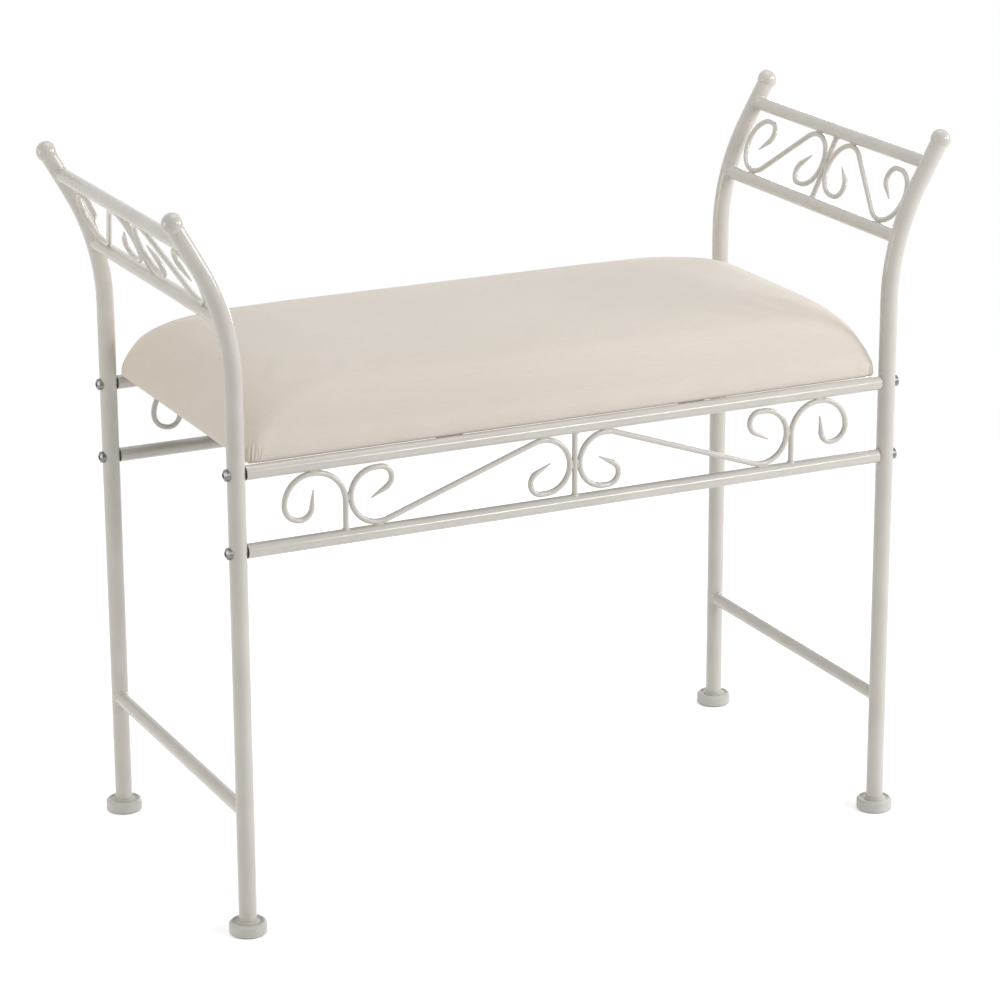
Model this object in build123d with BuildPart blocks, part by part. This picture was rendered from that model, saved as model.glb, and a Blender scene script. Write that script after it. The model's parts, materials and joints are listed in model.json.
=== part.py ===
"""Metal bench: two welded tube side frames with scrolled arms, two bolted seat panels, a padded seat.

Millimetres, +Z up. X runs along the seat, Y from front to back, and the origin lies on the floor
under the middle of the seat.
"""

import os
from math import asin, atan2, cos, degrees, hypot, radians, sin, sqrt, tan

from build123d import *

# Tubes and wire
leg_d = 16.0
leg_wall = 1.2
rail_d = 13.0
rail_wall = 1.2
wire_d = 5.0

# Places of the legs and rails, measured between tube axes and from the floor
leg_span_x = 644.0
leg_span_y = 316.0
stretcher_z = 114.0
low_rail_z = 353.0
top_rail_z = 423.0
arm_low_z = 558.0
arm_top_z = 624.0

# Outward bend at the top of each leg
bend_start_z = 499.0
bend_radius = 220.0
bend_angle = 29.5
ball_z = 645.5

# Ball finials and feet
ball_d = 19.0
spigot_length = 14.0
spigot_play = 0.1
foot_d = 33.6
foot_height = 11.0
foot_bevel = 1.6
foot_floor = 3.0
foot_play = 0.05
foot_collar = 1.5
foot_collar_rise = 0.8
foot_collar_round = 0.6
foot_dish = 4.0
foot_dish_depth = 1.0
pad_d = 31.6
pad_thickness = 1.2

# Scrolled wire: each curl opens from a main arc through a shoulder arc and a flat to an eye
curl_radius = 26.0
curl_step = 2.4
curl_flat = 4.5
eye_radius = 10.5
panel_eye_turn = 152.0
arm_eye_turn = 140.0
tip_length = 16.0
tip_taper = 6.5
tip_round = 0.5
weld_gap = 0.1
arm_scroll_clearance = 4.5

# Hook scrolls at the ends of the seat panels
hook_clearance = 33.0
hook_arch_radius = 29.0
hook_arch_flat = 2.0
hook_side_radius = 26.0
hook_base_radius = 14.5
hook_eye_radius = 11.0
hook_eye_turn = 84.0

# Knock-down fasteners
bolt_d = 6.0
bolt_play = 0.3
bolt_grip = 14.0
bolt_head_d = 10.5
bolt_head_height = 3.4
bolt_head_rim = 1.0
bolt_dome_radius = 12.6
socket_size = 4.0
socket_depth = 2.0
washer_thickness = 1.0
insert_length = 18.0
insert_play = 0.05
rail_end_gap = 0.2

# Seat pad: its sides draw in to the base, are widest low down, round over and rise to a low crown
seat_end_gap = 2.0
soft_gap = 0.3
pad_rise = 71.0
pad_tuck = 2.0
pad_widest = 8.0
pad_round = 34.0
pad_crown = 8.0
pad_corner = 12.0
corner_growth = 2.5
corner_limit = 0.75
cover_thickness = 1.0
cover_return = 44.0
board_thickness = 12.0
board_play = 0.5
dust_inset = 32.0
dust_thickness = 0.6
staple_inset = 38.0
staple_pitch = 60.0
staple_crown = 10.0
staple_leg = 8.0
staple_wire = 1.0
staple_play = 0.1

# Lugs that hold the seat pad, and their screws
lug_width = 24.0
lug_length = 26.0
lug_thickness = 2.0
lug_span = 240.0
screw_d = 4.0
screw_length = 12.0
screw_head_d = 8.0
screw_head_height = 2.4
screw_head_round = 0.8
screw_play = 0.2

# Places worked out from the driving dimensions
leg_x = leg_span_x / 2
leg_y = leg_span_y / 2
leg_r = leg_d / 2
rail_r = rail_d / 2
wire_r = wire_d / 2
wire_cut = 4 * wire_d
leg_base_z = pad_thickness + foot_floor
bend_top_z = bend_start_z + bend_radius * sin(radians(bend_angle))
bend_reach = bend_radius * (1 - cos(radians(bend_angle)))
ball_seat = sqrt((ball_d / 2) ** 2 - leg_r**2)
rail_end_x = leg_x - leg_r - rail_end_gap
rail_bore_d = rail_d - 2 * rail_wall
seat_base_z = top_rail_z + rail_r + soft_gap
seat_length = leg_span_x - leg_d - 2 * seat_end_gap
seat_depth = leg_span_y
lug_y = leg_y - rail_r / 2 - lug_length / 2

SIDES = {"left": -1, "right": 1}
ENDS = {"front": -1, "rear": 1}
leg_spots = [(side, end) for side in SIDES.values() for end in ENDS.values()]
UPWARD = (Align.CENTER, Align.CENTER, Align.MIN)
DOWNWARD = (Align.CENTER, Align.CENTER, Align.MAX)
ALONG_X = (0, 90, 0)

# Steps up the side of the seat pad: degrees round its edge, then shares of the way to its middle
EDGE_STEPS = (0, 20, 40, 58, 76)
CROWN_STEPS = (0.12, 0.4, 0.7, 0.9)


def keep(piece, name):
    """Label a finished piece and write it out."""
    piece.part.label = name
    export_step(piece.part, f"parts/{name}.step")


def flare(height):
    """How far a leg's axis stands outside its foot at a height."""
    if height <= bend_start_z:
        return 0.0
    if height <= bend_top_z:
        turned = asin((height - bend_start_z) / bend_radius)
        return bend_radius * (1 - cos(turned))
    return bend_reach + (height - bend_top_z) * tan(radians(bend_angle))


def leg_direction(side):
    """The way that the straight top of a leg points."""
    return Vector(side * sin(radians(bend_angle)), 0, cos(radians(bend_angle)))


def tube_top(side, end):
    """The end of a leg's tube, where its ball is seated."""
    ball = Vector(side * (leg_x + flare(ball_z)), end * leg_y, ball_z)
    return ball - leg_direction(side) * ball_seat


def leg_rod(side, end, radius, bore=0.0):
    """A round bar, or a tube, along a leg's axis."""
    top = tube_top(side, end)
    with BuildPart() as rod:
        with BuildLine(Plane.XZ.offset(-end * leg_y)):
            Line((side * leg_x, leg_base_z), (side * leg_x, bend_start_z))
            JernArc((side * leg_x, bend_start_z), (0, 1), bend_radius, -side * bend_angle)
            Line((side * (leg_x + bend_reach), bend_top_z), (top.X, top.Z))
        with BuildSketch(Plane.XY.offset(leg_base_z)):
            with Locations((side * leg_x, end * leg_y)):
                Circle(radius)
                if bore:
                    Circle(bore, mode=Mode.SUBTRACT)
        sweep()
    return rod


os.makedirs("parts", exist_ok=True)

# Legs, drilled for the bolts of the two rails
for end_name, end in ENDS.items():
    for side_name, side in SIDES.items():
        with BuildPart() as leg:
            add(leg_rod(side, end, leg_r, leg_r - leg_wall).part)
            with Locations(*[(side * leg_x, end * leg_y, z) for z in (low_rail_z, top_rail_z)]):
                Cylinder((bolt_d + bolt_play) / 2, 2 * leg_d, rotation=ALONG_X, mode=Mode.SUBTRACT)
        keep(leg, f"leg_{end_name}_{side_name}")

# Ball finials: a ball cut flat where it sits on the tube, with a spigot down the bore
for end_name, end in ENDS.items():
    for side_name, side in SIDES.items():
        with BuildPart(Plane(tube_top(side, end), x_dir=(0, 1, 0), z_dir=leg_direction(side))) as finial:
            with Locations((0, 0, ball_seat)):
                Sphere(ball_d / 2)
            with Locations((0, 0, 0)):
                Cylinder(ball_d, ball_d, align=DOWNWARD, mode=Mode.SUBTRACT)
                Cylinder(leg_r - leg_wall - spigot_play, spigot_length, align=DOWNWARD)
        keep(finial, f"finial_{end_name}_{side_name}")

# Feet: moulded discs, dished round the collar of a blind socket for the leg, and glide pads under them
foot_top = foot_height - pad_thickness
foot_socket_r = leg_r + foot_play
collar_r = foot_socket_r + foot_collar
for end_name, end in ENDS.items():
    for side_name, side in SIDES.items():
        with BuildPart(Plane((side * leg_x, end * leg_y, pad_thickness))) as foot:
            Cylinder(foot_d / 2, foot_top, align=UPWARD)
            chamfer(foot.faces().sort_by(Axis.Z)[-1].edges(), foot_bevel)
            with Locations((0, 0, foot_top)):
                Cylinder(collar_r + foot_dish, foot_dish_depth, align=DOWNWARD, mode=Mode.SUBTRACT)
            Cylinder(collar_r, foot_top + foot_collar_rise, align=UPWARD)
            fillet(foot.faces().sort_by(Axis.Z)[-1].edges(), foot_collar_round)
            with Locations((0, 0, foot_floor)):
                Cylinder(foot_socket_r, foot_height, align=UPWARD, mode=Mode.SUBTRACT)
        keep(foot, f"foot_{end_name}_{side_name}")

with BuildPart() as foot_pads:
    with Locations(*[(side * leg_x, end * leg_y) for side, end in leg_spots]):
        Cylinder(pad_d / 2, pad_thickness, align=UPWARD)
keep(foot_pads, "foot_pads")


def welded_tube(side, height):
    """A tube from front leg to rear leg, its ends saddled to the round of the legs."""
    with BuildPart() as tube:
        with BuildSketch(Plane.XZ.offset(leg_y)):
            with Locations((side * (leg_x + flare(height)), height)):
                Circle(rail_r)
                Circle(rail_r - rail_wall, mode=Mode.SUBTRACT)
        extrude(amount=-leg_span_y)
        for end in ENDS.values():
            add(leg_rod(side, end, leg_r).part, mode=Mode.SUBTRACT)
    return tube


# Stretchers and arm tubes
for side_name, side in SIDES.items():
    keep(welded_tube(side, stretcher_z), f"stretcher_{side_name}")
    keep(welded_tube(side, arm_low_z), f"arm_tube_low_{side_name}")
    keep(welded_tube(side, arm_top_z), f"arm_tube_top_{side_name}")

# Seat rails, square at the ends, the upper one of each pair carrying the seat
for end_name, end in ENDS.items():
    for level_name, height in (("low", low_rail_z), ("top", top_rail_z)):
        with BuildPart() as seat_rail:
            with BuildSketch(Plane.YZ.offset(-rail_end_x)):
                with Locations((end * leg_y, height)):
                    Circle(rail_r)
                    Circle(rail_r - rail_wall, mode=Mode.SUBTRACT)
            extrude(amount=2 * rail_end_x)
        keep(seat_rail, f"seat_rail_{level_name}_{end_name}")


def bent_wire(plane, start, heading, moves, tips):
    """Round wire bent in a plane. Each move is a straight (0, length) or an arc (radius, turn)."""
    with BuildPart() as wire:
        with BuildLine(plane) as axis:
            here = start
            for radius, amount in moves:
                toward = (cos(radians(heading)), sin(radians(heading)))
                if radius:
                    step = JernArc(here, toward, radius, amount)
                    heading += amount
                else:
                    step = PolarLine(here, amount, heading)
                here = step @ 1
        path = axis.wires()[0]
        with BuildSketch(Plane(path @ 0, z_dir=path % 0)):
            Circle(wire_r)
        sweep(path=path)
        ends = {"start": Plane(path @ 0, z_dir=-(path % 0)), "end": Plane(path @ 1, z_dir=path % 1)}
        for tip in tips:
            with BuildSketch(ends[tip]):
                Circle(wire_r)
            extrude(amount=tip_length, taper=tip_taper)
        blunt = wire.faces().filter_by(GeomType.PLANE).sort_by(SortBy.AREA)[: len(tips)]
        fillet(blunt.edges(), tip_round)
    return wire


def s_scroll(plane, low, high, inner, outer, eye_turn):
    """An S of wire: its outer curl stands on the lower rail, its inner curl hangs from the upper."""
    shoulder = curl_radius - curl_step
    outer_eye = Vector(outer - curl_radius, low + curl_radius)
    inner_eye = Vector(inner + curl_radius, high - curl_radius)
    run = outer_eye - inner_eye
    apart = hypot(run.X, run.Y)
    slope = degrees(asin(2 * curl_radius / apart) + atan2(-run.Y, run.X))
    straight = sqrt(apart**2 - (2 * curl_radius) ** 2)
    eye_centre = Vector(outer - shoulder - curl_flat, outer_eye.Y + shoulder - eye_radius)
    start = eye_centre + Vector(eye_radius, 0).rotate(Axis.Z, eye_turn + 90)
    curl = [(eye_radius, eye_turn), (0, curl_flat), (shoulder, 90), (curl_radius, 90 + slope)]
    inward = [(radius, amount if radius == 0 else -amount) for radius, amount in curl]
    moves = inward + [(0, straight)] + curl[::-1]
    return bent_wire(plane, (start.X, start.Y), eye_turn, moves, ("start", "end"))


def upright_bar(plane, reach):
    """A short bar of wire between two rails, its ends saddled to them."""
    with BuildPart(plane) as bar:
        Cylinder(wire_r, reach, rotation=(90, 0, 0))
        with Locations((0, -reach / 2), (0, reach / 2)):
            Cylinder(rail_r, wire_cut, rotation=(0, 90, 0), mode=Mode.SUBTRACT)
    return bar


# Scrollwork of the seat panels, on planes that run outwards from the middle of each panel
panel_reach = top_rail_z - low_rail_z
panel_middle_z = (low_rail_z + top_rail_z) / 2
panel_edge = panel_reach / 2 - rail_r - wire_r - weld_gap
bar_side = 2 * wire_r + weld_gap
hook_width = hook_arch_radius + hook_arch_flat + hook_side_radius
hook_stem = leg_x - leg_r - hook_clearance - wire_r - hook_width
hook_straight = panel_reach / 2 + panel_edge - hook_arch_radius
for end_name, end in ENDS.items():
    for side_name, side in SIDES.items():
        panel = Plane((0, end * leg_y, panel_middle_z), x_dir=(side, 0, 0), z_dir=(0, -side, 0))
        scroll = s_scroll(panel, -panel_edge, panel_edge, bar_side, hook_stem - bar_side, panel_eye_turn)
        keep(scroll, f"panel_scroll_{end_name}_{side_name}")

        moves = [(0, hook_straight), (hook_arch_radius, -90), (0, hook_arch_flat), (hook_side_radius, -90)]
        moves += [(hook_base_radius, -90), (hook_eye_radius, -hook_eye_turn)]
        with BuildPart() as hook:
            add(bent_wire(panel, (hook_stem, -panel_reach / 2), 90, moves, ("end",)).part)
            with Locations((side * hook_stem, end * leg_y, low_rail_z)):
                Cylinder(rail_r, wire_cut, rotation=ALONG_X, mode=Mode.SUBTRACT)
        keep(hook, f"panel_hook_{end_name}_{side_name}")
    keep(upright_bar(panel, panel_reach), f"panel_bar_{end_name}")

# Scrollwork of the arms, on the slanted plane through each pair of arm tubes
arm_rise = arm_top_z - arm_low_z
arm_lean = flare(arm_top_z) - flare(arm_low_z)
arm_reach = hypot(arm_rise, arm_lean)
arm_edge = arm_reach / 2 - rail_r - wire_r - weld_gap
arm_outer = leg_y - leg_r - arm_scroll_clearance - wire_r
arm_middle_x = leg_x + (flare(arm_low_z) + flare(arm_top_z)) / 2
arm_middle_z = (arm_low_z + arm_top_z) / 2
for side_name, side in SIDES.items():
    for end_name, end in ENDS.items():
        square = (end * arm_rise / arm_reach, 0, -side * end * arm_lean / arm_reach)
        arm = Plane((side * arm_middle_x, 0, arm_middle_z), x_dir=(0, end, 0), z_dir=square)
        scroll = s_scroll(arm, -arm_edge, arm_edge, bar_side, arm_outer, arm_eye_turn)
        keep(scroll, f"arm_scroll_{end_name}_{side_name}")
    keep(upright_bar(arm, arm_reach), f"arm_bar_{side_name}")

# Threaded inserts in the rail ends, bolts through the legs, and saddle washers under their heads
bolt_spots = [(side, end, z) for side, end in leg_spots for z in (low_rail_z, top_rail_z)]
insert_ends = [Plane((s * rail_end_x, e * leg_y, z), z_dir=(-s, 0, 0)) for s, e, z in bolt_spots]
leg_faces = [Plane((s * (leg_x + leg_r), e * leg_y, z), z_dir=(s, 0, 0)) for s, e, z in bolt_spots]

with BuildPart() as rail_inserts:
    with Locations(*insert_ends):
        Cylinder(rail_bore_d / 2 - insert_play, insert_length, align=UPWARD)
        Cylinder(bolt_d / 2 + insert_play, insert_length, align=UPWARD, mode=Mode.SUBTRACT)
keep(rail_inserts, "rail_inserts")

bolt_length = washer_thickness + leg_d + rail_end_gap + bolt_grip
with BuildPart() as bolt:
    with BuildSketch(Plane.XZ):
        with BuildLine():
            Polyline(
                (0, bolt_head_height),
                (0, -bolt_length),
                (bolt_d / 2, -bolt_length),
                (bolt_d / 2, 0),
                (bolt_head_d / 2, 0),
                (bolt_head_d / 2, bolt_head_rim),
            )
            RadiusArc((bolt_head_d / 2, bolt_head_rim), (0, bolt_head_height), -bolt_dome_radius)
        make_face()
    revolve(axis=Axis.Z)
    with BuildSketch(Plane.XY.offset(bolt_head_height)):
        RegularPolygon(socket_size / 2, 6, major_radius=False)
    extrude(amount=-socket_depth, mode=Mode.SUBTRACT)

with BuildPart() as frame_bolts:
    for face in leg_faces:
        with Locations(face.offset(washer_thickness)):
            add(bolt.part)
keep(frame_bolts, "frame_bolts")

with BuildPart() as saddle_washers:
    with Locations(*[face.offset(washer_thickness) for face in leg_faces]):
        Cylinder(bolt_head_d / 2, leg_r, align=DOWNWARD)
    with Locations(*[(side * leg_x, end * leg_y, leg_base_z) for side, end in leg_spots]):
        Cylinder(leg_r, bend_start_z - leg_base_z, align=UPWARD, mode=Mode.SUBTRACT)
    with Locations(*leg_faces):
        Cylinder((bolt_d + bolt_play) / 2, 2 * leg_d, mode=Mode.SUBTRACT)
keep(saddle_washers, "saddle_washers")


def pad_levels():
    """Height above the base, inset from the outline and corner radius, up the side of the pad."""
    yield 0, pad_tuck, pad_corner - pad_tuck
    middle = seat_depth / 2
    shoulder = pad_rise - pad_crown - pad_widest
    levels = []
    for turned in EDGE_STEPS:
        height = pad_widest + shoulder * sin(radians(turned))
        levels.append((height, pad_round * (1 - cos(radians(turned)))))
    for share in CROWN_STEPS:
        levels.append((pad_rise - pad_crown * (1 - share) ** 2, pad_round + share * (middle - pad_round)))
    for height, inset in levels:
        yield height, inset, min(pad_corner + corner_growth * inset, corner_limit * (middle - inset))


def crowned_form(skin):
    """The pad's crowned form, drawn in by a skin thickness all round."""
    shrink = (pad_rise - 2 * skin) / pad_rise
    with BuildPart() as form:
        for height, inset, corner in pad_levels():
            length = seat_length - 2 * (inset + skin)
            depth = seat_depth - 2 * (inset + skin)
            with BuildSketch(Plane.XY.offset(seat_base_z + skin + height * shrink)):
                RectangleRounded(length, depth, corner - skin)
        loft()
    return form


# Seat lugs welded to the inner side of the upper rails
lug_top = seat_base_z - soft_gap
lug_spots = [(x * lug_span / 2, end * lug_y) for x in (-1, 1) for end in ENDS.values()]
screw_hole_r = (screw_d + screw_play) / 2

with BuildPart() as seat_lugs:
    with Locations(*[(x, y, lug_top) for x, y in lug_spots]):
        Box(lug_width, lug_length, lug_thickness, align=DOWNWARD)
        Cylinder(screw_hole_r, lug_thickness, align=DOWNWARD, mode=Mode.SUBTRACT)
    with Locations(*[(0, end * leg_y, top_rail_z) for end in ENDS.values()]):
        Cylinder(rail_r, leg_span_x, rotation=ALONG_X, mode=Mode.SUBTRACT)
keep(seat_lugs, "seat_lugs")

# Screws up through the lugs into the board
screw_base = lug_top - lug_thickness
screw_points = [(x, y, screw_base) for x, y in lug_spots]
with BuildPart() as seat_screws:
    with Locations(*screw_points):
        Cylinder(screw_d / 2, screw_length, align=UPWARD)
        Cylinder(screw_head_d / 2, screw_head_height, align=DOWNWARD)
    fillet(seat_screws.faces().group_by(Axis.Z)[0].edges(), screw_head_round)
keep(seat_screws, "seat_screws")

# Staples round the underside: each has a crown across the dust cover and two legs up into the board
staple_half_x = seat_length / 2 - staple_inset
staple_half_y = seat_depth / 2 - staple_inset
staples_along = int(2 * staple_half_x / staple_pitch)
staples_across = int(2 * staple_half_y / staple_pitch)
dust_base = seat_base_z - dust_thickness
staple_rows = []
for i in range(staples_along):
    x = (i - (staples_along - 1) / 2) * staple_pitch
    staple_rows += [(x, side * staple_half_y, 0) for side in (-1, 1)]
for i in range(staples_across):
    y = (i - (staples_across - 1) / 2) * staple_pitch
    staple_rows += [(side * staple_half_x, y, 90) for side in (-1, 1)]
staple_places = [Location((x, y, dust_base), (0, 0, turn)) for x, y, turn in staple_rows]
staple_leg_x = (staple_crown - staple_wire) / 2


def staple_slots(play):
    """The bars that the staples' legs fill, wider by a play."""
    with BuildPart() as slots:
        with Locations(*staple_places):
            with Locations((-staple_leg_x, 0), (staple_leg_x, 0)):
                Box(staple_wire + play, staple_wire + play, staple_leg + play, align=UPWARD)
    return slots


with BuildPart() as staples:
    add(staple_slots(0).part)
    with Locations(*staple_places):
        Box(staple_crown, staple_wire, staple_wire, align=DOWNWARD)
keep(staples, "staples")
staple_holes = staple_slots(staple_play).part

# Dust cover, closing the underside between the rails
with BuildPart() as dust_cover:
    with BuildSketch(Plane.XY.offset(dust_base)):
        Rectangle(seat_length - 2 * dust_inset, seat_depth - 2 * dust_inset)
    extrude(amount=dust_thickness)
    add(staple_holes, mode=Mode.SUBTRACT)
keep(dust_cover, "dust_cover")

# Plywood board, drilled for the seat screws
board_base = seat_base_z + cover_thickness
board_edge = pad_tuck + cover_thickness + board_play
with BuildPart() as seat_board:
    with BuildSketch(Plane.XY.offset(board_base)):
        RectangleRounded(seat_length - 2 * board_edge, seat_depth - 2 * board_edge, pad_corner - board_edge)
    extrude(amount=board_thickness)
    with Locations(*screw_points):
        Cylinder(screw_hole_r, screw_length + screw_play, align=UPWARD, mode=Mode.SUBTRACT)
    add(staple_holes, mode=Mode.SUBTRACT)
keep(seat_board, "seat_board")

# Foam on the board, inside the cover
with BuildPart() as seat_foam:
    add(crowned_form(cover_thickness + soft_gap).part)
    split(bisect_by=Plane.XY.offset(board_base + board_thickness), keep=Keep.TOP)
keep(seat_foam, "seat_foam")

# Fabric cover: a skin over the pad that returns under the board
with BuildPart() as seat_cover:
    add(crowned_form(0).part)
    add(crowned_form(cover_thickness).part, mode=Mode.SUBTRACT)
    with BuildSketch(Plane.XY.offset(seat_base_z)):
        Rectangle(seat_length - 2 * cover_return, seat_depth - 2 * cover_return)
    extrude(amount=cover_thickness, mode=Mode.SUBTRACT)
    with Locations(*screw_points):
        Cylinder(screw_hole_r, screw_length, align=UPWARD, mode=Mode.SUBTRACT)
    add(staple_holes, mode=Mode.SUBTRACT)
keep(seat_cover, "seat_cover")
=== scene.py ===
"""Looks of the metal bench: a powder-coated frame with its welds, and a cloth-covered seat pad.

Metres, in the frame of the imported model: X along the seat, Y from front to back, Z up.
"""

import json
import math

import bmesh
import bpy
from mathutils import Matrix, Vector


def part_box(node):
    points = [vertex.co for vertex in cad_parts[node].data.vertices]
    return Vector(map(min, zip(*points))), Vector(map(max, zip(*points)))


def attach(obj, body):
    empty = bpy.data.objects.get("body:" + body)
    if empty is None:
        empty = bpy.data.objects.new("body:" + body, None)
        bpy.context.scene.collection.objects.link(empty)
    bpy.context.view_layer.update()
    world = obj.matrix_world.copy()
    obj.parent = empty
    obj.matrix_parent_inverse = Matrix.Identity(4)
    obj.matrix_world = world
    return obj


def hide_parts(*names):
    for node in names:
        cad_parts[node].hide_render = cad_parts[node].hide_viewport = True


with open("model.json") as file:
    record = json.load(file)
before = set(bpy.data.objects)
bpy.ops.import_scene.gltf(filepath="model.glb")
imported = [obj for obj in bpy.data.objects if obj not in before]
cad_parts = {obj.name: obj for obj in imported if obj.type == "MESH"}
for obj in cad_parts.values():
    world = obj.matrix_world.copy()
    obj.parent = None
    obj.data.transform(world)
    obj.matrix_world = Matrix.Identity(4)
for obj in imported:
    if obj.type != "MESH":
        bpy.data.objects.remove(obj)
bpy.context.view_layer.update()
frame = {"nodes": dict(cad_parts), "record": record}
scene = bpy.context.scene
MM = 0.001
SIDES = {"left": -1, "right": 1}
ENDS = {"front": -1, "rear": 1}

# Camera, as the photograph was taken: its place, its turns, and its lens for a square picture
CAMERA_PLACE = (-1.387, -2.8826, 1.329)
CAMERA_TURN = 25.734
CAMERA_DIP = 17.682
CAMERA_ROLL = -0.229
CAMERA_LENS = 129.8
CAMERA_SENSOR = 36

# Wire and welds. A ripple of a ring weld is its share of the weld's radius, its waves and its start
CURL_RADIUS = 26.0 * MM
ARCH_RADIUS = 29.0 * MM
RING_WELD = 1.3 * MM
WIRE_WELD = 1.1 * MM
WELD_RIPPLES = ((0.12, 11, 0), (0.1, 5, 1))
BEAD_HALF_LENGTH = 5.0 * MM
BEAD_HALF_WIDTH = 1.9 * MM
BEAD_HALF_HEIGHT = 1.5 * MM
BEAD_RIPPLE = 0.08
LOW_TUBE_LEAN = 15.5
MERGE_DISTANCE = 0.01 * MM

# Seat pad: its form before it swells, the lip of cloth at its base, and how it swells and is evened out
PAD_SLACK = 1.5 * MM
PAD_SLACK_RISE = 20.0 * MM
PAD_LIP = 1.8 * MM
PAD_BELOW = 3.0 * MM
PAD_SETTLE = 0.2 * MM
PAD_VOXEL = 5.5 * MM
PAD_HELD = 15.0 * MM
PAD_SWELL_CAP = 2.0 * MM
PAD_FRAMES = 20
PAD_PRESSURE = 4
PAD_QUALITY = 6
PAD_SOFTENING = 6
SMOOTH_IN = 0.5
SMOOTH_OUT = -0.52
PAD_CORNER = 12.0 * MM

# Hem of the pad, drawn in a little between the staples
HEM_PITCH = 60.0 * MM
HEM_DEPTH = 0.3 * MM
HEM_RISE = 16.0 * MM
HEM_START = 0.5 * MM

# Pleats at the pad's corners
PLEAT_REACH = 28.0 * MM
PLEAT_CUTS = 5
PLEAT_SPREAD = 6.0 * MM
PLEAT_WIDTH = 0.9 * MM
PLEAT_BULGE = 0.35
PLEAT_BULGE_WIDTH = 2.4

# Each pleat: its side and end, degrees round the corner from the end face, height, depth, lean in degrees
PLEATS = [
    (-1, -1, 30, 18, 1.4, 4),
    (-1, -1, 50, 24, 1.6, 6),
    (-1, -1, 64, 20, 1.6, 9),
    (-1, -1, 75, 13, 1.5, 14),
    (-1, -1, 86, 16, 1.5, 18),
    (-1, -1, 96, 9, 1.2, 18),
    (-1, -1, 106, 12, 1.2, 24),
    (1, -1, 76, 13, 2.6, -8),
    (1, -1, 46, 9, 0.8, 4),
    (-1, 1, 26, 16, 1.5, 6),
    (-1, 1, 46, 19, 1.7, 9),
    (-1, 1, 66, 15, 1.5, 11),
    (1, 1, 30, 15, 1.5, 5),
    (1, 1, 50, 18, 1.7, 9),
    (1, 1, 68, 16, 1.6, 12),
]
THREAD_PITCH = 0.9 * MM

# Dust cover
DUST_THICKNESS = 0.4 * MM
DUST_SAG = 1.6 * MM
DUST_RIPPLE = 0.6 * MM
DUST_DROP = 0.5 * MM
DUST_CELLS = (120, 56)

# Light of the surround, and the floor: the white added where it is seen, and where it runs out to white
SURROUND_LIGHT = 0.42
FLOOR_LIFT = 0.48
FLOOR_FADE = (0.6, 1.5)
FLOOR_HALF_WIDTH = 12
FLOOR_DROP = 0.3 * MM


def add(tree, kind, inputs=(), **settings):
    """A shader node of a kind, with its settings, and with its inputs set or linked."""
    made = tree.nodes.new("ShaderNode" + kind)
    for name, value in settings.items():
        setattr(made, name, value)
    for name, value in dict(inputs).items():
        if isinstance(value, bpy.types.NodeSocket):
            tree.links.new(value, made.inputs[name])
        else:
            made.inputs[name].default_value = value
    return made


def new_finish(name, **sockets):
    """A material with plain sockets set. Gives it, its tree, its shader and Object places."""
    finish = bpy.data.materials.new(name)
    finish.use_nodes = True
    tree = finish.node_tree
    shader = tree.nodes["Principled BSDF"]
    for socket, value in sockets.items():
        shader.inputs[socket.replace("_", " ")].default_value = value
    return finish, tree, shader, add(tree, "TexCoord").outputs["Object"]


def tones(tree, share, dark, light, low=0.3, high=0.7):
    """A colour between two tones, by a share."""
    ramp = add(tree, "ValToRGB", {"Fac": share})
    for stop, place, colour in zip(ramp.color_ramp.elements, (low, high), (dark, light)):
        stop.position = place
        stop.color = (*colour, 1)
    return ramp.outputs["Color"]


def spread(tree, share, low, high):
    """A share of 0 to 1 spread between two numbers."""
    return add(tree, "MapRange", {"Value": share, "To Min": low, "To Max": high}).outputs["Result"]


def grain(tree, place, scale, detail=3.0):
    """Even noise of a scale."""
    return add(tree, "TexNoise", {"Vector": place, "Scale": scale, "Detail": detail}).outputs["Fac"]


def stretched(tree, place, scale):
    """Places drawn out along an axis by a scale for each axis."""
    return add(tree, "Mapping", {"Vector": place, "Scale": scale}).outputs["Vector"]


def sums(tree, operation, first, second):
    """One sum of two numbers or sockets."""
    made = add(tree, "Math", {0: first, 1: second}, operation=operation)
    return made.outputs["Value"]


def relief(tree, shader, height, strength, depth):
    """Bump from a height."""
    bump = add(tree, "Bump", {"Height": height, "Strength": strength, "Distance": depth})
    tree.links.new(bump.outputs["Normal"], shader.inputs["Normal"])


def ivory_paint():
    """Satin powder coat: a faint orange peel, with small changes of tone and gloss."""
    finish, tree, shader, place = new_finish("ivory_powder_coat", Specular_IOR_Level=0.7)
    mottle = grain(tree, place, 26, 4)
    colour = tones(tree, mottle, (0.622, 0.589, 0.540), (0.68, 0.645, 0.594))
    tree.links.new(colour, shader.inputs["Base Color"])
    tree.links.new(spread(tree, grain(tree, place, 90), 0.13, 0.20), shader.inputs["Roughness"])
    relief(tree, shader, grain(tree, place, 650, 2), 0.10, 0.3 * MM)
    return finish


def foot_plastic():
    """Moulded plastic, a little paler and duller than the paint."""
    finish, tree, shader, place = new_finish("foot_plastic", Specular_IOR_Level=0.45)
    mottle = grain(tree, place, 60, 4)
    colour = tones(tree, mottle, (0.60, 0.585, 0.54), (0.66, 0.645, 0.60))
    tree.links.new(colour, shader.inputs["Base Color"])
    tree.links.new(spread(tree, grain(tree, place, 240), 0.42, 0.56), shader.inputs["Roughness"])
    relief(tree, shader, grain(tree, place, 1400, 2), 0.2, 0.2 * MM)
    return finish


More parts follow.
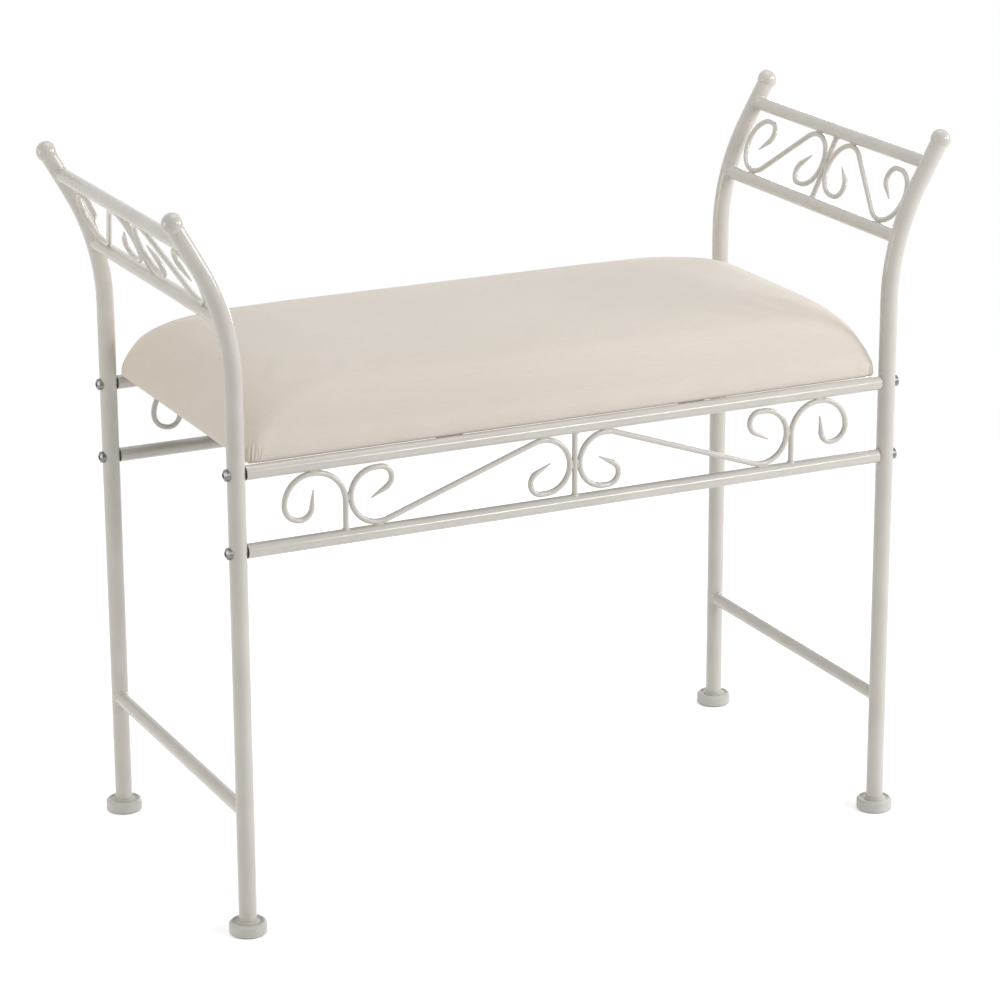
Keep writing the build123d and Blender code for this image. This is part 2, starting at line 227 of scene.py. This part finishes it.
def glide_pad():
    """Pressed felt."""
    finish, tree, shader, place = new_finish("glide_felt", Specular_IOR_Level=0.2, Sheen_Weight=0.3)
    fibre = grain(tree, place, 1600, 6)
    colour = tones(tree, fibre, (0.36, 0.35, 0.33), (0.52, 0.51, 0.48))
    tree.links.new(colour, shader.inputs["Base Color"])
    tree.links.new(spread(tree, fibre, 0.85, 1.0), shader.inputs["Roughness"])
    relief(tree, shader, fibre, 0.6, 0.4 * MM)
    return finish


def bright_metal(name, dark, light):
    """Plated steel with fine turned scratches."""
    finish, tree, shader, place = new_finish(name, Metallic=1.0)
    scratch = grain(tree, stretched(tree, place, (3200, 350, 350)), 1, 4)
    tree.links.new(tones(tree, scratch, dark, light), shader.inputs["Base Color"])
    tree.links.new(spread(tree, scratch, 0.22, 0.42), shader.inputs["Roughness"])
    relief(tree, shader, scratch, 0.15, 0.1 * MM)
    return finish


def plywood():
    """Plywood, its plies showing at the edge and its grain along the seat."""
    finish, tree, shader, place = new_finish("plywood", Roughness=0.7)
    along = grain(tree, stretched(tree, place, (18, 260, 90)), 1, 6)
    plies = add(tree, "TexWave", {"Vector": place, "Scale": 200, "Distortion": 0.6}, bands_direction="Z")
    share = sums(tree, "ADD", sums(tree, "MULTIPLY", along, 0.7), 0.1)
    share = sums(tree, "ADD", share, sums(tree, "MULTIPLY", plies.outputs["Fac"], 0.2))
    colour = tones(tree, share, (0.36, 0.23, 0.12), (0.62, 0.45, 0.28))
    tree.links.new(colour, shader.inputs["Base Color"])
    relief(tree, shader, along, 0.4, 0.3 * MM)
    return finish


def seat_foam():
    """Open-cell foam."""
    finish, tree, shader, place = new_finish("seat_foam", Roughness=0.95, Specular_IOR_Level=0.1)
    cells = add(tree, "TexVoronoi", {"Vector": place, "Scale": 900}).outputs["Distance"]
    colour = tones(tree, cells, (0.55, 0.49, 0.33), (0.80, 0.74, 0.56))
    tree.links.new(colour, shader.inputs["Base Color"])
    relief(tree, shader, cells, 0.7, 0.6 * MM)
    return finish


def cover_cloth():
    """Cream cloth in a fine plain weave, laid along the seat, with uneven yarns and a soft sheen."""
    finish, tree, shader, place = new_finish(
        "cream_cloth", Specular_IOR_Level=0.25, Sheen_Weight=0.18, Sheen_Roughness=0.45
    )
    axes = add(tree, "SeparateXYZ", {"Vector": place}).outputs
    threads = {}
    for axis in "XYZ":
        turn = sums(tree, "MULTIPLY", axes[axis], math.pi / THREAD_PITCH)
        threads[axis] = sums(tree, "SINE", turn, 0.0)
    facing = add(tree, "SeparateXYZ", {"Vector": add(tree, "TexCoord").outputs["Normal"]}).outputs
    weave = None
    for first, second, square in ("XYZ", "XZY", "YZX"):
        over = sums(tree, "MULTIPLY", threads[first], threads[second])
        weight = sums(tree, "POWER", sums(tree, "ABSOLUTE", facing[square], 0.0), 2.0)
        part = sums(tree, "MULTIPLY", over, weight)
        weave = part if weave is None else sums(tree, "ADD", weave, part)
    slubs_along = grain(tree, stretched(tree, place, (60, 900, 900)), 1, 4)
    slubs_across = grain(tree, stretched(tree, place, (900, 60, 900)), 1, 4)
    yarn = sums(tree, "MULTIPLY", sums(tree, "ADD", slubs_along, slubs_across), 0.5)
    mottle = grain(tree, place, 7, 4)
    share = sums(tree, "ADD", sums(tree, "MULTIPLY", yarn, 0.7), sums(tree, "MULTIPLY", mottle, 0.3))
    colour = tones(tree, share, (0.72, 0.652, 0.567), (0.795, 0.737, 0.662))
    tree.links.new(colour, shader.inputs["Base Color"])
    tree.links.new(spread(tree, yarn, 0.72, 0.92), shader.inputs["Roughness"])
    height = sums(tree, "ADD", sums(tree, "MULTIPLY", weave, 0.5), yarn)
    relief(tree, shader, height, 0.25, 0.25 * MM)
    return finish


def dust_cloth():
    """Thin non-woven cloth: pressed fibres with a grid of small bonded dots."""
    finish, tree, shader, place = new_finish("dust_cloth", Specular_IOR_Level=0.2, Sheen_Weight=0.2)
    fibres = grain(tree, place, 1300, 6)
    dots = add(tree, "TexVoronoi", {"Vector": place, "Scale": 520, "Randomness": 0.1}).outputs["Distance"]
    colour = tones(tree, fibres, (0.018, 0.018, 0.02), (0.05, 0.05, 0.054))
    tree.links.new(colour, shader.inputs["Base Color"])
    tree.links.new(spread(tree, fibres, 0.75, 0.95), shader.inputs["Roughness"])
    relief(tree, shader, sums(tree, "ADD", dots, fibres), 0.5, 0.25 * MM)
    return finish


def mesh_of(obj):
    """The mesh that an object shows, with its modifiers applied."""
    return bpy.data.meshes.new_from_object(obj.evaluated_get(bpy.context.evaluated_depsgraph_get()))


def new_piece(name, shape):
    """A smooth object from a bmesh, which is used up."""
    mesh = bpy.data.meshes.new(name)
    shape.to_mesh(mesh)
    shape.free()
    mesh.polygons.foreach_set("use_smooth", [True] * len(mesh.polygons))
    made = bpy.data.objects.new(name, mesh)
    scene.collection.objects.link(made)
    return made


def dress(piece, finish):
    """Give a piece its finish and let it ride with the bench."""
    piece.data.materials.clear()
    piece.data.materials.append(finish)
    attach(piece, "root")


def middle(node):
    """The middle of a node's box."""
    low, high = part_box(node)
    return (low + high) / 2


# Sizes read from the frame
rail_low, rail_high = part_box("seat_rail_top_front")
rail_r = (rail_high.z - rail_low.z) / 2
bar_low, bar_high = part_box("panel_bar_front")
wire_r = (bar_high.x - bar_low.x) / 2
leg_y = -middle("foot_front_right").y
leg_low, leg_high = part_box("leg_front_right")
leg_r = (leg_high.y - leg_low.y) / 2


def merge(shape, added):
    """Add one bmesh to another, using it up."""
    mesh = bpy.data.meshes.new("part")
    added.to_mesh(mesh)
    added.free()
    shape.from_mesh(mesh)
    bpy.data.meshes.remove(mesh)


def ring_weld(shape, place, axis, across, ring_r, weld_r, seat_r):
    """A bead round a tube or wire of radius ring_r that ends on a round tube of radius seat_r.

    Place is on the axis of the tube that it ends on, axis points from there along the tube or wire,
    and across runs along the tube that it ends on.
    """
    aside = axis.cross(across)
    ring = bmesh.new()
    upright = Matrix.Rotation(math.pi / 2, 3, "X")
    bmesh.ops.create_circle(ring, segments=10, radius=weld_r, matrix=Matrix.Translation((ring_r, 0, 0)))
    bmesh.ops.rotate(ring, verts=ring.verts, cent=(ring_r, 0, 0), matrix=upright)
    bmesh.ops.spin(
        ring,
        geom=ring.verts[:] + ring.edges[:],
        axis=(0, 0, 1),
        cent=(0, 0, 0),
        angle=2 * math.pi,
        steps=36,
        use_merge=True,
    )
    bmesh.ops.remove_doubles(ring, verts=ring.verts, dist=MERGE_DISTANCE)
    bmesh.ops.recalc_face_normals(ring, faces=ring.faces)
    for vert in ring.verts:
        turned = math.atan2(vert.co.y, vert.co.x)
        ripple = sum(share * math.sin(waves * turned + start) for share, waves, start in WELD_RIPPLES)
        vert.co.z += weld_r * ripple + math.sqrt(max(seat_r**2 - min(abs(vert.co.y), seat_r) ** 2, 0))
    lay = Matrix((across, aside, axis)).transposed().to_4x4()
    bmesh.ops.transform(ring, matrix=Matrix.Translation(place) @ lay, verts=ring.verts)
    merge(shape, ring)


def bead(shape, place, along, up, seed):
    """A small uneven bead in the notch where a wire lies on a tube or on another wire."""
    lump = bmesh.new()
    bmesh.ops.create_icosphere(lump, subdivisions=3, radius=1)
    for vert in lump.verts:
        ripple = math.sin(5 * vert.co.x + seed) * math.cos(4 * vert.co.y - seed)
        vert.co *= 1 + BEAD_RIPPLE * ripple
    size = Matrix.Diagonal((BEAD_HALF_LENGTH, BEAD_HALF_WIDTH, BEAD_HALF_HEIGHT, 1))
    lay = Matrix((along, up.cross(along), up)).transposed().to_4x4()
    bmesh.ops.transform(lump, matrix=Matrix.Translation(place) @ lay @ size, verts=lump.verts)
    merge(shape, lump)


def panel_welds(end_name):
    """Welds of a seat panel: wire feet on the rails, curls on the rails and on their neighbours."""
    shape = bmesh.new()
    low_rail = middle(f"seat_rail_low_{end_name}")
    top_rail = middle(f"seat_rail_top_{end_name}")
    along, up = Vector((1, 0, 0)), Vector((0, 0, 1))
    ring_weld(shape, low_rail, up, along, wire_r, WIRE_WELD, rail_r)
    ring_weld(shape, top_rail, -up, along, wire_r, WIRE_WELD, rail_r)
    for side_name, side in SIDES.items():
        near, far = sorted(abs(corner.x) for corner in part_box(f"panel_scroll_{end_name}_{side_name}"))
        stem = min(abs(corner.x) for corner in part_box(f"panel_hook_{end_name}_{side_name}")) + wire_r
        foot = low_rail + side * stem * along
        ring_weld(shape, foot, up, along, wire_r, WIRE_WELD, rail_r)
        low_curl = side * (far - wire_r - CURL_RADIUS)
        top_curl = side * (near + wire_r + CURL_RADIUS)
        arch = side * (stem + ARCH_RADIUS)
        bead(shape, low_rail + low_curl * along + rail_r * up, along, up, 1.0)
        bead(shape, top_rail + top_curl * along - rail_r * up, along, -up, 2.0)
        bead(shape, top_rail + arch * along - rail_r * up, along, -up, 3.0)
        curl_rise = rail_r + wire_r + CURL_RADIUS
        bead(shape, top_rail + side * near * along - curl_rise * up, up, along, 4.0)
        bead(shape, low_rail + side * far * along + curl_rise * up, up, along, 5.0)
    return new_piece(f"welds_{end_name}_panel", shape)


def low_tube_lean(side):
    """The way that a leg runs where the lower arm tube meets it."""
    lean = math.radians(LOW_TUBE_LEAN)
    return Vector((side * math.sin(lean), 0, math.cos(lean)))


def side_welds(side_name):
    """Welds of a side frame: tube ends on the legs, and the scrollwork between the arm tubes."""
    shape = bmesh.new()
    side = SIDES[side_name]
    low_tube = middle(f"arm_tube_low_{side_name}")
    top_tube = middle(f"arm_tube_top_{side_name}")
    along = Vector((0, 1, 0))
    up = (top_tube - low_tube).normalized()
    leg_leans = {"stretcher": Vector((0, 0, 1)), "arm_tube_low": low_tube_lean(side), "arm_tube_top": up}
    for tube, lean in leg_leans.items():
        for end in ENDS.values():
            place = middle(f"{tube}_{side_name}")
            place.y = end * leg_y
            ring_weld(shape, place, Vector((0, -end, 0)), lean, rail_r, RING_WELD, leg_r)
    ring_weld(shape, low_tube, up, along, wire_r, WIRE_WELD, rail_r)
    ring_weld(shape, top_tube, -up, along, wire_r, WIRE_WELD, rail_r)
    for end_name, end in ENDS.items():
        near, far = sorted(abs(corner.y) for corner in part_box(f"arm_scroll_{end_name}_{side_name}"))
        low_curl = end * (far - wire_r - CURL_RADIUS)
        top_curl = end * (near + wire_r + CURL_RADIUS)
        curl_rise = rail_r + wire_r + CURL_RADIUS
        bead(shape, low_tube + low_curl * along + rail_r * up, along, up, 1.5)
        bead(shape, top_tube + top_curl * along - rail_r * up, along, -up, 2.5)
        bead(shape, top_tube + end * near * along - curl_rise * up, up, along, 3.5)
    return new_piece(f"welds_{side_name}_side", shape)


def pad_form():
    """The seat pad's outer form, from the hull of its cover: slack above, carried on below its base."""
    low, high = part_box("seat_cover")
    size = high - low
    form = bmesh.new()
    form.from_mesh(frame["nodes"]["seat_cover"].data)
    bmesh.ops.delete(form, geom=form.edges[:] + form.faces[:], context="EDGES_FACES")
    bmesh.ops.remove_doubles(form, verts=form.verts, dist=MERGE_DISTANCE)
    for vert in form.verts[:]:
        rise = vert.co.z - low.z
        share = min(rise / PAD_SLACK_RISE, 1)
        inset = share * PAD_SLACK - (1 - share) * PAD_LIP
        vert.co.x *= 1 - 2 * inset / size.x
        vert.co.y *= 1 - 2 * inset / size.y
        vert.co.z -= PAD_SLACK * rise / size.z
        if rise < PAD_BELOW / 2:
            form.verts.new(vert.co - Vector((0, 0, PAD_BELOW)))
    hull = bmesh.ops.convex_hull(form, input=form.verts)
    left_over = set(hull["geom_interior"] + hull["geom_unused"])
    bmesh.ops.delete(form, geom=[v for v in form.verts if v in left_over], context="VERTS")
    return form


def flatten_base(pad, base_z):
    """Bring what the pad's mesh has below its base up to the base, and keep the base's edge crisp."""
    shape = bmesh.new()
    shape.from_mesh(pad.data)
    base = [vert for vert in shape.verts if vert.co.z < base_z]
    for vert in base:
        vert.co.z = base_z
    bmesh.ops.remove_doubles(shape, verts=base, dist=PAD_VOXEL / 3)
    crease = shape.edges.layers.float.new("crease_edge")
    for edge in shape.edges:
        heights = [vert.co.z for face in edge.link_faces for vert in face.verts]
        if max(vert.co.z for vert in edge.verts) == base_z and max(heights) > base_z:
            edge[crease] = 1.0
    shape.to_mesh(pad.data)
    shape.free()


def soften(pad, base_z):
    """Even out the pad above its held base. A step out follows each step in, so it keeps its size."""
    shape = bmesh.new()
    shape.from_mesh(pad.data)
    upper = [vert for vert in shape.verts if vert.co.z > base_z + PAD_HELD]
    for factor in (SMOOTH_IN, SMOOTH_OUT) * PAD_SOFTENING:
        bmesh.ops.smooth_vert(
            shape, verts=upper, factor=factor, use_axis_x=True, use_axis_y=True, use_axis_z=True
        )
    shape.to_mesh(pad.data)
    shape.free()


def swell(pad, base_z):
    """Blow the pad up a little against its cloth, with its base held."""
    held = pad.vertex_groups.new(name="held")
    held.add([v.index for v in pad.data.vertices if v.co.z < base_z + PAD_HELD], 1.0, "REPLACE")
    before = [v.co.copy() for v in pad.data.vertices]
    cloth = pad.modifiers.new("swell", "CLOTH")
    cloth.settings.quality = PAD_QUALITY
    cloth.settings.use_pressure = True
    cloth.settings.uniform_pressure_force = PAD_PRESSURE
    cloth.settings.effector_weights.gravity = 0
    cloth.settings.vertex_group_mass = held.name
    cloth.point_cache.frame_end = PAD_FRAMES
    for step in range(1, PAD_FRAMES + 1):
        scene.frame_set(step)
    swollen = mesh_of(pad)
    scene.frame_set(1)
    pad.modifiers.clear()
    pad.vertex_groups.clear()
    for vert, start in zip(swollen.vertices, before):
        moved = vert.co - start
        if moved.length > PAD_SWELL_CAP:
            vert.co = start + moved * (PAD_SWELL_CAP / moved.length)
    pad.data = swollen


def hump(away, width):
    """A smooth hump that falls off from 1 with distance."""
    return math.exp(-((away / width) ** 2))


def gather(pad, low, high):
    """Fold pleats into the corners of the pad and draw its hem in between the staples."""
    shape = bmesh.new()
    shape.from_mesh(pad.data)
    reach = Vector((high.x - PAD_CORNER, high.y - PAD_CORNER))
    folded = []
    for edge in shape.edges:
        place = (edge.verts[0].co + edge.verts[1].co) / 2
        outside = abs(place.x) > reach.x - PAD_CORNER / 2 and abs(place.y) > reach.y - PAD_CORNER / 2
        if outside and place.z < low.z + PLEAT_REACH:
            folded.append(edge)
    bmesh.ops.subdivide_edges(shape, edges=folded, cuts=PLEAT_CUTS, use_grid_fill=True)
    for vert in shape.verts:
        rise = vert.co.z - low.z
        beyond = Vector((abs(vert.co.x) - reach.x, abs(vert.co.y) - reach.y))
        if rise > HEM_START and (beyond.x > 0 or beyond.y > 0):
            run = vert.co.x if beyond.y > beyond.x else vert.co.y
            draw = HEM_DEPTH * math.cos(2 * math.pi * run / HEM_PITCH) * hump(rise, HEM_RISE)
            vert.co -= draw * Vector((vert.normal.x, vert.normal.y, 0))
        for side, end, turned, height, depth, lean in PLEATS:
            outward = Vector((side * vert.co.x - reach.x, end * vert.co.y - reach.y))
            if min(outward) <= -PLEAT_SPREAD or max(outward) <= 0 or rise > height * MM:
                continue
            way = math.radians(turned + lean * rise / (height * MM))
            aside = outward.length * (math.atan2(outward.y, outward.x) - way)
            fade = 1 - (rise / (height * MM)) ** 2
            fold = hump(aside, PLEAT_WIDTH) - PLEAT_BULGE * hump(aside, PLEAT_BULGE_WIDTH * PLEAT_WIDTH)
            push = depth * MM * fade * fold
            vert.co -= push * Vector((side * outward.x, end * outward.y, 0)).normalized()
    shape.to_mesh(pad.data)
    shape.free()


def seat_pad():
    """The seat pad: even mesh over its form, swollen as cloth, with its corners gathered."""
    low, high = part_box("seat_cover")
    low.z -= PAD_SETTLE
    pad = new_piece("seat_pad", pad_form())
    even = pad.modifiers.new("even", "REMESH")
    even.mode = "VOXEL"
    even.voxel_size = PAD_VOXEL
    pad.data = mesh_of(pad)
    pad.modifiers.clear()
    flatten_base(pad, low.z)
    swell(pad, low.z)
    soften(pad, low.z)
    gather(pad, low, high)
    pad.data.polygons.foreach_set("use_smooth", [True] * len(pad.data.polygons))
    finer = pad.modifiers.new("finer", "SUBSURF")
    finer.levels = finer.render_levels = 1
    return pad


def dust_sheet():
    """The dust cover: a thin sheet under the pad that sags a little inside its staples."""
    low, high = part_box("dust_cover")
    size = high - low
    shape = bmesh.new()
    bmesh.ops.create_grid(shape, x_segments=DUST_CELLS[0], y_segments=DUST_CELLS[1], size=0.5)
    bmesh.ops.scale(shape, vec=(size.x, size.y, 1), verts=shape.verts)
    for vert in shape.verts:
        across = 1 - (2 * vert.co.x / size.x) ** 2
        deep = 1 - (2 * vert.co.y / size.y) ** 2
        ripple = math.sin(2 * math.pi * vert.co.x / HEM_PITCH) * (1 - deep)
        ripple += math.sin(2 * math.pi * vert.co.y / HEM_PITCH) * (1 - across)
        vert.co.z = high.z - DUST_DROP - DUST_SAG * across * deep + DUST_RIPPLE * ripple * across * deep
    sheet = new_piece("dust_sheet", shape)
    thick = sheet.modifiers.new("thick", "SOLIDIFY")
    thick.thickness = DUST_THICKNESS
    thick.offset = 0
    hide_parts("dust_cover")
    return sheet


def seen_rays(tree):
    """1 for rays that show a surface as it looks, 0 for those that gather its light."""
    rays = add(tree, "LightPath").outputs
    seen = sums(tree, "MAXIMUM", rays["Is Camera Ray"], rays["Is Glossy Ray"])
    return sums(tree, "MAXIMUM", seen, rays["Is Transmission Ray"])


def pale_floor():
    """A pale floor that keeps a soft shadow and runs out to white."""
    shape = bmesh.new()
    bmesh.ops.create_grid(shape, x_segments=1, y_segments=1, size=FLOOR_HALF_WIDTH)
    bmesh.ops.translate(shape, verts=shape.verts, vec=(0, 0, -FLOOR_DROP))
    floor = new_piece("floor", shape)
    finish = bpy.data.materials.new("pale_floor")
    finish.use_nodes = True
    tree = finish.node_tree
    tree.nodes.clear()
    seen = seen_rays(tree)
    place = add(tree, "TexCoord").outputs["Object"]
    away = add(tree, "VectorMath", {0: place}, operation="LENGTH").outputs["Value"]
    fade = {"Value": away, "From Min": FLOOR_FADE[0], "From Max": FLOOR_FADE[1]}
    far = add(tree, "MapRange", fade, interpolation_type="SMOOTHSTEP").outputs["Result"]
    matt = add(tree, "BsdfDiffuse", {"Color": (0.92, 0.92, 0.915, 1)}).outputs["BSDF"]
    lift = add(tree, "Emission", {"Color": (1, 1, 1, 1), "Strength": FLOOR_LIFT}).outputs["Emission"]
    white = add(tree, "Emission", {"Color": (1, 1, 1, 1), "Strength": 1.0}).outputs["Emission"]
    near = add(tree, "AddShader", {0: matt, 1: lift}).outputs["Shader"]
    shown = add(tree, "MixShader", {"Fac": far, 1: near, 2: white}).outputs["Shader"]
    lit = add(tree, "MixShader", {"Fac": seen, 1: matt, 2: shown}).outputs["Shader"]
    clear = add(tree, "BsdfTransparent").outputs["BSDF"]
    under = add(tree, "NewGeometry").outputs["Backfacing"]
    surface = add(tree, "MixShader", {"Fac": under, 1: lit, 2: clear}).outputs["Shader"]
    add(tree, "OutputMaterial", {"Surface": surface})
    floor.data.materials.append(finish)


def white_world():
    """A white surround, plain for the light that it gives."""
    world = bpy.data.worlds.new("studio")
    scene.world = world
    world.use_nodes = True
    tree = world.node_tree
    seen = seen_rays(tree)
    background = tree.nodes["Background"]
    background.inputs["Color"].default_value = (1, 1, 1, 1)
    tree.links.new(spread(tree, seen, SURROUND_LIGHT, 1.0), background.inputs["Strength"])


def softbox(name, place, target, width, watts, colour=(1, 1, 1), tall=None):
    """A soft light that faces a point: square, unless it is given a height of its own."""
    lamp = bpy.data.lights.new(name, "AREA")
    lamp.color = colour
    lamp.shape = "RECTANGLE"
    lamp.size = width
    lamp.size_y = tall or width
    lamp.energy = watts
    light = bpy.data.objects.new(name, lamp)
    light.location = place
    light.rotation_euler = (Vector(target) - Vector(place)).to_track_quat("-Z", "Y").to_euler()
    scene.collection.objects.link(light)


def photograph_camera():
    """The camera at the photograph's viewing angle."""
    camera = bpy.data.objects.new("camera", bpy.data.cameras.new("camera"))
    turn = Matrix.Rotation(math.radians(-CAMERA_TURN), 4, "Z")
    dip = Matrix.Rotation(math.radians(90 - CAMERA_DIP), 4, "X")
    roll = Matrix.Rotation(math.radians(CAMERA_ROLL), 4, "Z")
    camera.matrix_world = Matrix.Translation(CAMERA_PLACE) @ turn @ dip @ roll
    camera.data.lens = CAMERA_LENS
    camera.data.sensor_width = CAMERA_SENSOR
    scene.collection.objects.link(camera)
    scene.camera = camera


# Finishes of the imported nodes, by slot
finishes = {
    "ivory_paint": ivory_paint(),
    "foot_plastic": foot_plastic(),
    "glide_pad": glide_pad(),
    "zinc": bright_metal("zinc_plate", (0.17, 0.17, 0.168), (0.30, 0.30, 0.29)),
    "staple_wire": bright_metal("galvanised_wire", (0.38, 0.38, 0.39), (0.56, 0.56, 0.55)),
    "plywood": plywood(),
    "foam": seat_foam(),
    "cover_cloth": cover_cloth(),
    "dust_cloth": dust_cloth(),
}
node_slots = {entry["node"]: entry["material_slot"] for entry in frame["record"]["subparts"]}
for name, node in frame["nodes"].items():
    node.data.materials.clear()
    node.data.materials.append(finishes[node_slots[name]])

for end_name in ENDS:
    dress(panel_welds(end_name), finishes["ivory_paint"])
for side_name in SIDES:
    dress(side_welds(side_name), finishes["ivory_paint"])

pad = seat_pad()
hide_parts("seat_cover", "seat_foam")
dress(pad, finishes["cover_cloth"])
dress(dust_sheet(), finishes["dust_cloth"])

pale_floor()
white_world()
softbox("key", (2.5, -1.5, 1.2), (0, 0, 0.35), width=1.2, watts=32)
softbox("strip", (1.3, -2.5, 1.55), (0, 0, 0.35), width=0.9, watts=17, tall=0.25)
softbox("fill", (-2.6, 0.5, 0.5), (0, 0, 0.35), width=1.4, watts=16, colour=(1.0, 0.96, 0.88))
softbox("top", (0.2, 0.3, 2.7), (0, 0, 0.4), width=1.8, watts=17)
softbox("rim", (2.3, 2.2, 0.6), (0, 0, 0.35), width=1.2, watts=24)
photograph_camera()
scene.view_settings.view_transform = "Standard"
